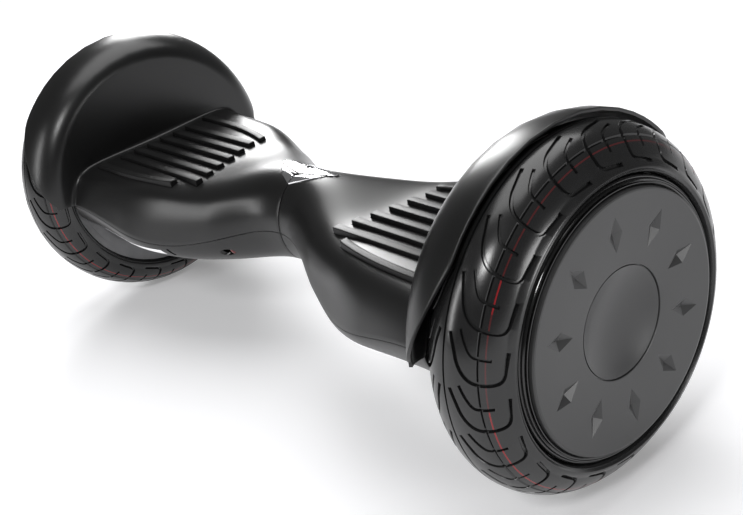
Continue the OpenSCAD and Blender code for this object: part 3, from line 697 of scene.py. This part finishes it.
class Value:
    """A number, colour or place that varies over a surface. Sums with a number add Math nodes."""

    def __init__(self, finish, socket):
        self.finish = finish
        self.socket = socket

    def math(self, operation, *values):
        return self.finish.add("ShaderNodeMath", {"operation": operation}, dict(enumerate(values)))

    def sine(self):
        return self.math("SINE", self)

    def __abs__(self):
        return self.math("ABSOLUTE", self)

    def __add__(self, other):
        return self.math("ADD", self, other)

    __radd__ = __add__

    def __sub__(self, other):
        return self.math("SUBTRACT", self, other)

    def __rsub__(self, other):
        return self.math("SUBTRACT", other, self)

    def __mul__(self, other):
        return self.math("MULTIPLY", self, other)

    __rmul__ = __mul__

    def __pow__(self, other):
        return self.math("POWER", self, other)

    def __lt__(self, other):
        return self.math("LESS_THAN", self, other)

    def __gt__(self, other):
        return self.math("GREATER_THAN", self, other)


def set_stops(elements, stops):
    while len(elements) < len(stops):
        elements.new(0.5)
    for element, (position, colour) in zip(elements, stops):
        element.position, element.color = position, colour


class Finish:
    """A material and the nodes that make it."""

    def __init__(self, name, **fixed):
        self.material = bpy.data.materials.new(name)
        self.material.use_nodes = True
        self.tree = self.material.node_tree
        self.shader = self.tree.nodes["Principled BSDF"]
        for socket, value in fixed.items():
            self.shader.inputs[socket.replace("_", " ")].default_value = value
        self.place = self.add("ShaderNodeTexCoord", output="Object")

    def add(self, kind, settings=None, inputs=None, output=0):
        """Adds one node, sets it up, and gives one of its outputs. A ramp's setting is its stops."""
        node = self.tree.nodes.new(kind)
        for key, value in (settings or {}).items():
            if key == "stops":
                set_stops(node.color_ramp.elements, value)
            else:
                setattr(node, key, value)
        for key, value in (inputs or {}).items():
            if isinstance(value, Value):
                self.tree.links.new(value.socket, node.inputs[key])
            else:
                node.inputs[key].default_value = value
        return Value(self, node.outputs[output])

    def ramp(self, value, *stops):
        """Colour stops of (position, colour) over a value."""
        return self.add("ShaderNodeValToRGB", {"stops": stops}, {"Fac": value}, "Color")

    def noise(self, scale, detail=3.0, stretch=(1, 1, 1)):
        """Noise with so many grains a metre."""
        place = self.add("ShaderNodeMapping", inputs={"Vector": self.place, "Scale": stretch})
        grains = {"Vector": place, "Scale": scale, "Detail": detail}
        return self.add("ShaderNodeTexNoise", inputs=grains, output="Fac")

    def mix(self, share, a, b):
        """A colour between two, by share."""
        return self.add("ShaderNodeMix", {"data_type": "RGBA"}, {0: share, 6: a, 7: b}, 2)

    def wire(self, socket, value):
        self.tree.links.new(value.socket, self.shader.inputs[socket])

    def bump(self, height, depth, strength=1.0):
        """Relief of a depth in metres."""
        shape = {"Height": height, "Distance": depth, "Strength": strength}
        self.wire("Normal", self.add("ShaderNodeBump", inputs=shape, output="Normal"))

    def along(self, axis):
        """How far a place on the piece lies along X, Y or Z."""
        return self.add("ShaderNodeSeparateXYZ", inputs={0: self.place}, output=axis)

    def from_axle(self):
        """How far a place on the piece lies from the line through both axles."""
        y, up = self.along("Y"), self.along("Z") - AXLE_Z
        return (y * y + up * up) ** 0.5


def grey(level, alpha=1.0):
    return (level, level, level * 1.02, alpha)


def moulded_black():
    """Satin moulded plastic with a very fine grain."""
    f = Finish("moulded_black", Specular_IOR_Level=0.5)
    cloud = f.noise(9.0, 2.0)
    grain = f.noise(2600.0, 2.0)
    f.wire("Base Color", f.ramp(cloud, (0.35, grey(0.005)), (0.7, grey(0.008))))
    f.wire("Roughness", 0.25 + 0.06 * cloud + 0.05 * grain)
    f.bump(grain, 0.00002, 0.35)
    return f.material


def pad_black():
    """Glossy moulded rubber of the ribs."""
    f = Finish("pad_black", Specular_IOR_Level=0.28)
    cloud, grain = f.noise(30.0, 3.0), f.noise(1800.0, 2.0)
    f.wire("Base Color", f.ramp(cloud, (0.3, grey(0.005)), (0.75, grey(0.009))))
    f.wire("Roughness", 0.36 + 0.12 * cloud)
    f.bump(grain, 0.00003, 0.3)
    return f.material


def plain_rubber():
    """Matt rubber of the inner parts."""
    f = Finish("plain_rubber")
    cloud, grain = f.noise(60.0, 3.0), f.noise(1200.0, 3.0)
    f.wire("Base Color", f.ramp(cloud, (0.3, grey(0.016)), (0.75, grey(0.028))))
    f.wire("Roughness", 0.55 + 0.2 * grain)
    f.bump(grain, 0.00005, 0.5)
    return f.material


RED_LINE_X, RED_LINE_HALF, TREAD_FROM_R = 0.0241, 0.00035, 0.1155


def tyre_rubber():
    """Wet-look tread rubber with a thin red line on each shoulder."""
    f = Finish("tyre_rubber", Specular_IOR_Level=0.55)
    radius = f.from_axle()
    sideways = abs(abs(f.along("X")) - WHEEL_X)
    line = (abs(sideways - RED_LINE_X) < RED_LINE_HALF) * (radius > TREAD_FROM_R)
    cloud, grain = f.noise(26.0, 4.0), f.noise(700.0, 4.0)
    worn = f.noise(9.0, 3.0)
    line = line * (0.25 + 0.75 * (worn > 0.45))
    rubber = f.ramp(cloud, (0.3, grey(0.008)), (0.75, grey(0.014)))
    f.wire("Base Color", f.mix(line, rubber, (0.22, 0.010, 0.013, 1)))
    f.wire("Roughness", 0.16 + 0.12 * cloud)
    f.bump(grain * 0.5 + cloud, 0.00006, 0.5)
    return f.material


def cover_satin():
    """Charcoal plastic with a soft even sheen."""
    f = Finish("cover_satin", Specular_IOR_Level=0.5)
    cloud, grain = f.noise(14.0, 2.0), f.noise(3000.0, 2.0)
    f.wire("Base Color", f.ramp(cloud, (0.3, grey(0.025)), (0.75, grey(0.031))))
    f.wire("Roughness", 0.30 + 0.08 * cloud)
    f.bump(grain, 0.00002, 0.4)
    return f.material


def polished_black():
    f = Finish("polished_black", Specular_IOR_Level=0.6)
    cloud = f.noise(40.0, 3.0)
    f.wire("Base Color", f.ramp(cloud, (0.3, grey(0.004)), (0.75, grey(0.007))))
    f.wire("Roughness", 0.10 + 0.08 * cloud)
    f.bump(cloud, 0.00002, 0.2)
    return f.material


def milky_lens():
    """White lens that glows a little."""
    f = Finish("milky_lens", Emission_Strength=0.35)
    cloud = f.noise(60.0, 2.0)
    f.wire("Base Color", f.ramp(cloud, (0.2, grey(0.80)), (0.8, grey(0.88))))
    f.wire("Emission Color", f.ramp(cloud, (0.2, grey(0.85)), (0.8, grey(1.0))))
    f.wire("Roughness", 0.16 + 0.08 * cloud)
    return f.material


def plated():
    """Mirror plating with faint ripples."""
    f = Finish("plated", Metallic=1.0)
    cloud = f.noise(55.0, 3.0)
    f.wire("Base Color", f.ramp(cloud, (0.3, grey(0.80)), (0.75, grey(0.90))))
    f.wire("Roughness", 0.08 + 0.08 * cloud)
    f.bump(cloud, 0.00004, 0.3)
    return f.material


def smoked_lens():
    f = Finish("smoked_lens", Specular_IOR_Level=0.6)
    cloud = f.noise(80.0, 2.0)
    f.wire("Base Color", f.ramp(cloud, (0.3, grey(0.006)), (0.75, grey(0.012))))
    f.wire("Roughness", 0.08 + 0.06 * cloud)
    return f.material


def cast_metal():
    """Sand-cast aluminium."""
    f = Finish("cast_metal", Metallic=1.0)
    cloud, grain = f.noise(30.0, 3.0), f.noise(900.0, 4.0)
    # Much darker than bare aluminium: partly a dark cast finish, partly painted shade for the shaded inside
    # of the wheel.
    f.wire("Base Color", f.ramp(cloud, (0.3, grey(0.16)), (0.75, grey(0.24))))
    f.wire("Roughness", 0.42 + 0.2 * grain)
    f.bump(grain, 0.00008, 0.6)
    return f.material


def turned_steel():
    """Steel with fine rings from the lathe."""
    f = Finish("turned_steel", Metallic=1.0)
    rings, cloud = f.noise(900.0, 2.0, (1, 0.02, 0.02)), f.noise(40.0, 3.0)
    f.wire("Base Color", f.ramp(cloud, (0.3, grey(0.5)), (0.75, grey(0.62))))
    f.wire("Roughness", 0.22 + 0.16 * rings)
    f.bump(rings, 0.00002, 0.5)
    return f.material


def blackened():
    """Black oxide on screws and small metal parts."""
    f = Finish("blackened", Metallic=0.6)
    cloud = f.noise(160.0, 3.0)
    f.wire("Base Color", f.ramp(cloud, (0.3, grey(0.02)), (0.75, grey(0.045))))
    f.wire("Roughness", 0.34 + 0.16 * cloud)
    return f.material


COIL_FROM_R, COIL_TO_R = 0.045, 0.064


def wound_core():
    """Steel sheets and copper coils of the motor."""
    f = Finish("wound_core", Metallic=0.9)
    radius = f.from_axle()
    sheets = (f.along("X") * 9000.0).sine() * 0.5 + 0.5
    iron = f.ramp(sheets, (0.2, grey(0.22)), (0.8, grey(0.34)))
    copper = f.ramp(f.noise(500.0, 3.0), (0.3, (0.45, 0.16, 0.05, 1)), (0.75, (0.62, 0.26, 0.09, 1)))
    wound = (radius > COIL_FROM_R) * (radius < COIL_TO_R)
    f.wire("Base Color", f.mix(wound, iron, copper))
    f.wire("Roughness", 0.35 + 0.15 * sheets)
    f.bump(sheets, 0.00005, 0.5)
    return f.material


def nickel():
    f = Finish("nickel", Metallic=1.0)
    cloud = f.noise(70.0, 3.0)
    f.wire("Base Color", f.ramp(cloud, (0.3, (0.40, 0.39, 0.36, 1)), (0.75, (0.52, 0.50, 0.46, 1))))
    f.wire("Roughness", 0.22 + 0.12 * cloud)
    return f.material


def circuit_board(name, low, high):
    """Solder mask with lighter tracks."""
    f = Finish(name)
    tracks = f.add("ShaderNodeTexVoronoi", {"feature": "DISTANCE_TO_EDGE", "distance": "CHEBYCHEV"},
                   {"Vector": f.place, "Scale": 260.0}, output="Distance")
    f.wire("Base Color", f.ramp(tracks, (0.04, high), (0.09, low)))
    f.wire("Roughness", 0.28 + 0.2 * f.noise(300.0))
    f.bump(tracks, 0.00004, 0.4)
    return f.material


def nylon():
    f = Finish("nylon")
    cloud = f.noise(50.0, 3.0)
    f.wire("Base Color", f.ramp(cloud, (0.3, (0.70, 0.66, 0.55, 1)), (0.75, (0.80, 0.77, 0.67, 1))))
    f.wire("Roughness", 0.38 + 0.14 * cloud)
    return f.material


def shrink_wrap():
    """Blue film pulled tight over the cells."""
    f = Finish("shrink_wrap")
    cells = (f.along("Y") * 350.0).sine() * 0.5 + 0.5
    creases = f.noise(120.0, 5.0, (1, 3, 1))
    f.wire("Base Color", f.ramp(creases, (0.3, (0.015, 0.07, 0.26, 1)), (0.75, (0.03, 0.13, 0.40, 1))))
    f.wire("Roughness", 0.18 + 0.2 * creases)
    f.bump(cells + 0.3 * creases, 0.0006, 0.6)
    return f.material


def clear_red():
    """Deep red key."""
    f = Finish("clear_red", Coat_Weight=0.4)
    cloud = f.noise(240.0, 2.0)
    f.wire("Base Color", f.ramp(cloud, (0.3, (0.10, 0.004, 0.005, 1)), (0.75, (0.20, 0.008, 0.01, 1))))
    f.wire("Roughness", 0.18 + 0.1 * cloud)
    return f.material


def brass():
    f = Finish("brass", Metallic=1.0)
    rings = f.noise(1200.0, 2.0, (1, 0.02, 0.02))
    f.wire("Base Color", f.ramp(rings, (0.3, (0.52, 0.36, 0.12, 1)), (0.75, (0.64, 0.47, 0.19, 1))))
    f.wire("Roughness", 0.24 + 0.14 * rings)
    return f.material


FINISHES = {
    "shell_black": moulded_black(),
    "pad_rubber": pad_black(),
    "inner_rubber": plain_rubber(),
    "tyre_black": tyre_rubber(),
    "cover_grey": cover_satin(),
    "ring_black": polished_black(),
    "lens_white": milky_lens(),
    "trim_chrome": plated(),
    "indicator_black": smoked_lens(),
    "cast_aluminium": cast_metal(),
    "steel": turned_steel(),
    "screw_black": blackened(),
    "motor_iron": wound_core(),
    "magnet": nickel(),
    "board_green": circuit_board("mask_green", (0.008, 0.10, 0.03, 1), (0.02, 0.17, 0.06, 1)),
    "board_white": circuit_board("mask_white", (0.62, 0.62, 0.58, 1), (0.72, 0.72, 0.68, 1)),
    "bush_nylon": nylon(),
    "battery_blue": shrink_wrap(),
    "button_red": clear_red(),
    "valve_brass": brass(),
}


# ---------------------------------------------------------------- the whole board

def finish_kept_nodes():
    """Every CAD node that stays gets its own finish."""
    slots = {row["node"]: row["material_slot"] for row in frame["record"]["subparts"]}
    for name, obj in frame["nodes"].items():
        obj.data.materials.clear()
        obj.data.materials.append(FINISHES[slots[name]])


def make_board():
    shell, rubber = FINISHES["shell_black"], FINISHES["tyre_black"]
    both_sides("upper_skin", upper_shell, shell, "half", ["upper_shell"], 30)
    piece("lower_skin_right", lower_shell(), shell, "right_half", ["right_lower_shell"], 30)
    piece("lower_skin_left", left_lower_shell(), shell, "left_half", ["left_lower_shell"], 30)
    both_sides("ribbed_pad", foot_pad, FINISHES["pad_rubber"], "pad", ["foot_pad"])
    both_sides("light_lens", light_bar, FINISHES["lens_white"], "half", ["light_bar"])
    both_sides("grooved_tyre", tyre, rubber, "wheel", ["tyre"])
    both_sides("dimpled_cover", hub_cover, FINISHES["cover_grey"], "wheel", ["hub_cover"], 12)
    both_sides("stepped_ring", cover_ring, FINISHES["ring_black"], "wheel", ["cover_ring"])
    both_sides("plated_trim", neck_trim, FINISHES["trim_chrome"], "half", ["neck_trim"])
    both_sides("smoked_strip", indicator, FINISHES["indicator_black"], "half",
               ["indicator"])
    piece("red_key", power_button(), FINISHES["button_red"], "power_button", ["power_button"])


# ---------------------------------------------------------------- floor, light and camera

def floor():
    """Wide pale floor."""
    bm = bmesh.new()
    bmesh.ops.create_grid(bm, x_segments=1, y_segments=1, size=6.0)
    mesh = bpy.data.meshes.new("floor")
    bm.to_mesh(mesh)
    bm.free()
    obj = bpy.data.objects.new("floor", mesh)
    bpy.context.scene.collection.objects.link(obj)
    f = Finish("floor_white", Roughness=0.6, Specular_IOR_Level=0.2, Emission_Strength=0.22,
               Emission_Color=(1, 1, 1, 1))
    f.wire("Base Color", f.ramp(f.noise(2.0), (0.2, grey(0.88)), (0.8, grey(0.9))))
    mesh.materials.append(f.material)


def lamp(name, place, aim, size, power):
    """A square soft light that faces a point."""
    data = bpy.data.lights.new(name, "AREA")
    data.shape, data.size, data.size_y, data.energy = "RECTANGLE", size[0], size[1], power
    obj = bpy.data.objects.new(name, data)
    obj.location = place
    obj.rotation_euler = (Vector(aim) - Vector(place)).to_track_quat("-Z", "Y").to_euler()
    bpy.context.scene.collection.objects.link(obj)


def light():
    world = bpy.data.worlds.new("studio")
    bpy.context.scene.world = world
    world.use_nodes = True
    world.node_tree.nodes["Background"].inputs["Color"].default_value = (1, 1, 1, 1)
    world.node_tree.nodes["Background"].inputs["Strength"].default_value = 0.13
    lamp("overhead", (-0.2, 0.4, 1.9), (0, 0, 0.1), (1.4, 2.2), 30)
    lamp("back_left", (-1.6, 1.0, 0.95), (0, 0, 0.12), (0.5, 1.1), 22)
    lamp("front_left", (-0.7, -1.9, 0.8), (0.1, 0, 0.12), (0.2, 1.1), 9)
    lamp("key", (0.8, -1.4, 1.6), (0.33, 0, 0.13), (0.4, 0.4), 14)
    lamp("side", (1.7, 0.2, 0.3), (0.33, 0, 0.12), (0.5, 0.4), 6)


CAMERA_TURN, CAMERA_RISE, CAMERA_ROLL = math.radians(54.3), math.radians(26.7), math.radians(-12.5)
CAMERA_AWAY, CAMERA_RIGHT, CAMERA_UP, CAMERA_LENS = 0.9622, 0.0480, -0.0322, 55.36


def camera():
    back = Vector((math.sin(CAMERA_TURN) * math.cos(CAMERA_RISE),
                   -math.cos(CAMERA_TURN) * math.cos(CAMERA_RISE), math.sin(CAMERA_RISE)))
    level = (-back).cross(Vector((0, 0, 1))).normalized()
    upright = level.cross(-back)
    right = math.cos(CAMERA_ROLL) * level + math.sin(CAMERA_ROLL) * upright
    up = math.cos(CAMERA_ROLL) * upright - math.sin(CAMERA_ROLL) * level
    data = bpy.data.cameras.new("camera")
    data.lens, data.sensor_width, data.clip_start = CAMERA_LENS, 36.0, 0.01
    obj = bpy.data.objects.new("camera", data)
    turn = Matrix((right, up, back)).transposed().to_4x4()
    spot = Vector((0, 0, AXLE_Z)) + back * CAMERA_AWAY + right * CAMERA_RIGHT + up * CAMERA_UP
    obj.matrix_world = Matrix.Translation(spot) @ turn
    bpy.context.scene.collection.objects.link(obj)
    bpy.context.scene.camera = obj
    bpy.context.scene.view_settings.view_transform = "Standard"


camera()
light()
floor()
finish_kept_nodes()
make_board()
